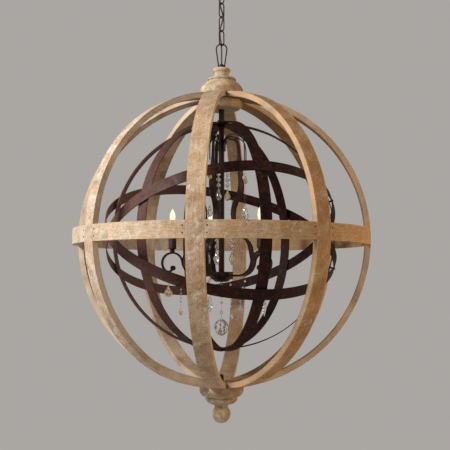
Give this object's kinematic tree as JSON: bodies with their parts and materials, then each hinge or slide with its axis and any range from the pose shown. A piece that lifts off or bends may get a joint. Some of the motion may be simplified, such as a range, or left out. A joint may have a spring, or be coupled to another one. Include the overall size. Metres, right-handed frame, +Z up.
{
  "type": "orb chandelier",
  "caption": "Orb chandelier: a whitewashed wooden orb around an iron orb of hoops, with candle arms, scrolls and crystals, hung by a chain from a ceiling canopy.",
  "frame": {"origin": "on the ceiling plane, on the chandelier's axis, midway between the two outlet box screws", "axes": "+Z up along the hanging axis, +X along the crossbar"},
  "size_m": [0.8638, 0.8638, 1.3947],
  "materials": {
    "wood": "whitewashed",
    "iron": "matt, rubbed with rust",
    "steel": "dull",
    "crystal": "clear, faceted",
    "amber_crystal": "amber, faceted",
    "bulb_glass": "clear",
    "sleeve": "matt",
    "holder_plastic": "matt",
    "cord_jacket": "matt"
  },
  "bodies": {
    "ceiling_end": {"crossbar": "steel", "canopy_nipple": "steel", "canopy": "iron", "canopy_loop": "iron", "supply_cord": "cord_jacket"},
    "link_1": {"chain_link_1": "iron"},
    "link_2": {"chain_link_2": "iron"},
    "link_3": {"chain_link_3": "iron"},
    "link_4": {"chain_link_4": "iron"},
    "orb": {"rib_1": "wood", "rib_2": "wood", "rib_3": "wood", "rib_4": "wood", "rib_5": "wood", "rib_6": "wood", "rib_7": "wood", "rib_8": "wood", "ring_segments": "wood", "ring_nails": "steel", "top_finial": "wood", "inner_disc": "wood", "bottom_finial": "wood", "pole_bolt": "steel", "hub_nipple": "steel", "hub_loop": "iron", "stem_tube": "iron", "stem_nuts": "iron", "upright_hoop_1": "iron", "upright_hoop_2": "iron", "upright_hoop_3": "iron", "tilted_hoop_1": "iron", "tilted_hoop_2": "iron", "hoop_rivets": "iron", "arm_hub": "iron", "hub_cap": "iron", "arm_1": "iron", "scroll_1": "iron", "arm_2": "iron", "scroll_2": "iron", "arm_3": "iron", "scroll_3": "iron", "arm_4": "iron", "scroll_4": "iron", "arm_5": "iron", "scroll_5": "iron", "candle_cups": "iron", "candle_sleeves": "sleeve", "lampholders": "holder_plastic", "bulbs": "bulb_glass"},
    "centre_drop": {"ball_drop": "crystal"},
    "pendant_1": {"arm_pendant_1": "crystal"},
    "pendant_2": {"arm_pendant_2": "amber_crystal"},
    "pendant_3": {"arm_pendant_3": "crystal"},
    "pendant_4": {"arm_pendant_4": "amber_crystal"},
    "pendant_5": {"arm_pendant_5": "crystal"},
    "strand_1": {"waist_strand_1": "crystal"},
    "strand_2": {"waist_strand_2": "crystal"},
    "strand_3": {"waist_strand_3": "crystal"},
    "strand_4": {"waist_strand_4": "crystal"},
    "strand_5": {"waist_strand_5": "crystal"}
  },
  "joints": [
    {"name": "canopy_to_link_1", "type": "hinge", "parent": "ceiling_end", "child": "link_1", "pos_m": [0, 0, -0.1077], "axis": [0.9888, 0.1495, 0], "range_deg": [-15, 15], "deforming": ["supply_cord"]},
    {"name": "link_1_to_link_2", "type": "hinge", "parent": "link_1", "child": "link_2", "pos_m": [0, 0, -0.15], "axis": [0.8049, -0.5934, 0], "range_deg": [-15, 15]},
    {"name": "link_2_to_link_3", "type": "hinge", "parent": "link_2", "child": "link_3", "pos_m": [0, 0, -0.1925], "axis": [0.5934, 0.8049, 0], "range_deg": [-15, 15]},
    {"name": "link_3_to_link_4", "type": "hinge", "parent": "link_3", "child": "link_4", "pos_m": [0, 0, -0.235], "axis": [0.8049, -0.5934, 0], "range_deg": [-15, 15]},
    {"name": "link_4_to_orb", "type": "hinge", "parent": "link_4", "child": "orb", "pos_m": [0, 0, -0.2775], "axis": [0.5934, 0.8049, 0], "range_deg": [-15, 15]},
    {"name": "centre_drop_swing", "type": "hinge", "parent": "orb", "child": "centre_drop", "pos_m": [0, 0, -0.9925], "axis": [1, 0, 0], "range_deg": [-15, 15]},
    {"name": "pendant_1_swing", "type": "hinge", "parent": "orb", "child": "pendant_1", "pos_m": [0.13341, -0.08336, -0.96531], "axis": [0.848, -0.5299, 0], "range_deg": [-20, 20]},
    {"name": "pendant_2_swing", "type": "hinge", "parent": "orb", "child": "pendant_2", "pos_m": [0.12051, 0.10112, -0.96531], "axis": [0.766, 0.6428, 0], "range_deg": [-20, 20]},
    {"name": "pendant_3_swing", "type": "hinge", "parent": "orb", "child": "pendant_3", "pos_m": [-0.05893, 0.14586, -0.96531], "axis": [-0.3746, 0.9272, 0], "range_deg": [-20, 20]},
    {"name": "pendant_4_swing", "type": "hinge", "parent": "orb", "child": "pendant_4", "pos_m": [-0.15693, -0.01097, -0.96531], "axis": [-0.9976, -0.0698, 0], "range_deg": [-20, 20]},
    {"name": "pendant_5_swing", "type": "hinge", "parent": "orb", "child": "pendant_5", "pos_m": [-0.03806, -0.15264, -0.96531], "axis": [-0.2419, -0.9703, 0], "range_deg": [-20, 20]},
    {"name": "strand_1_swing", "type": "hinge", "parent": "orb", "child": "strand_1", "pos_m": [0.03274, -0.02046, -0.79109], "axis": [0.848, -0.5299, 0], "range_deg": [-20, 20]},
    {"name": "strand_2_swing", "type": "hinge", "parent": "orb", "child": "strand_2", "pos_m": [0.02957, 0.02481, -0.79109], "axis": [0.766, 0.6428, 0], "range_deg": [-20, 20]},
    {"name": "strand_3_swing", "type": "hinge", "parent": "orb", "child": "strand_3", "pos_m": [-0.01446, 0.03579, -0.79109], "axis": [-0.3746, 0.9272, 0], "range_deg": [-20, 20]},
    {"name": "strand_4_swing", "type": "hinge", "parent": "orb", "child": "strand_4", "pos_m": [-0.03851, -0.00269, -0.79109], "axis": [-0.9976, -0.0698, 0], "range_deg": [-20, 20]},
    {"name": "strand_5_swing", "type": "hinge", "parent": "orb", "child": "strand_5", "pos_m": [-0.00934, -0.03745, -0.79109], "axis": [-0.2419, -0.9703, 0], "range_deg": [-20, 20]}
  ]
}
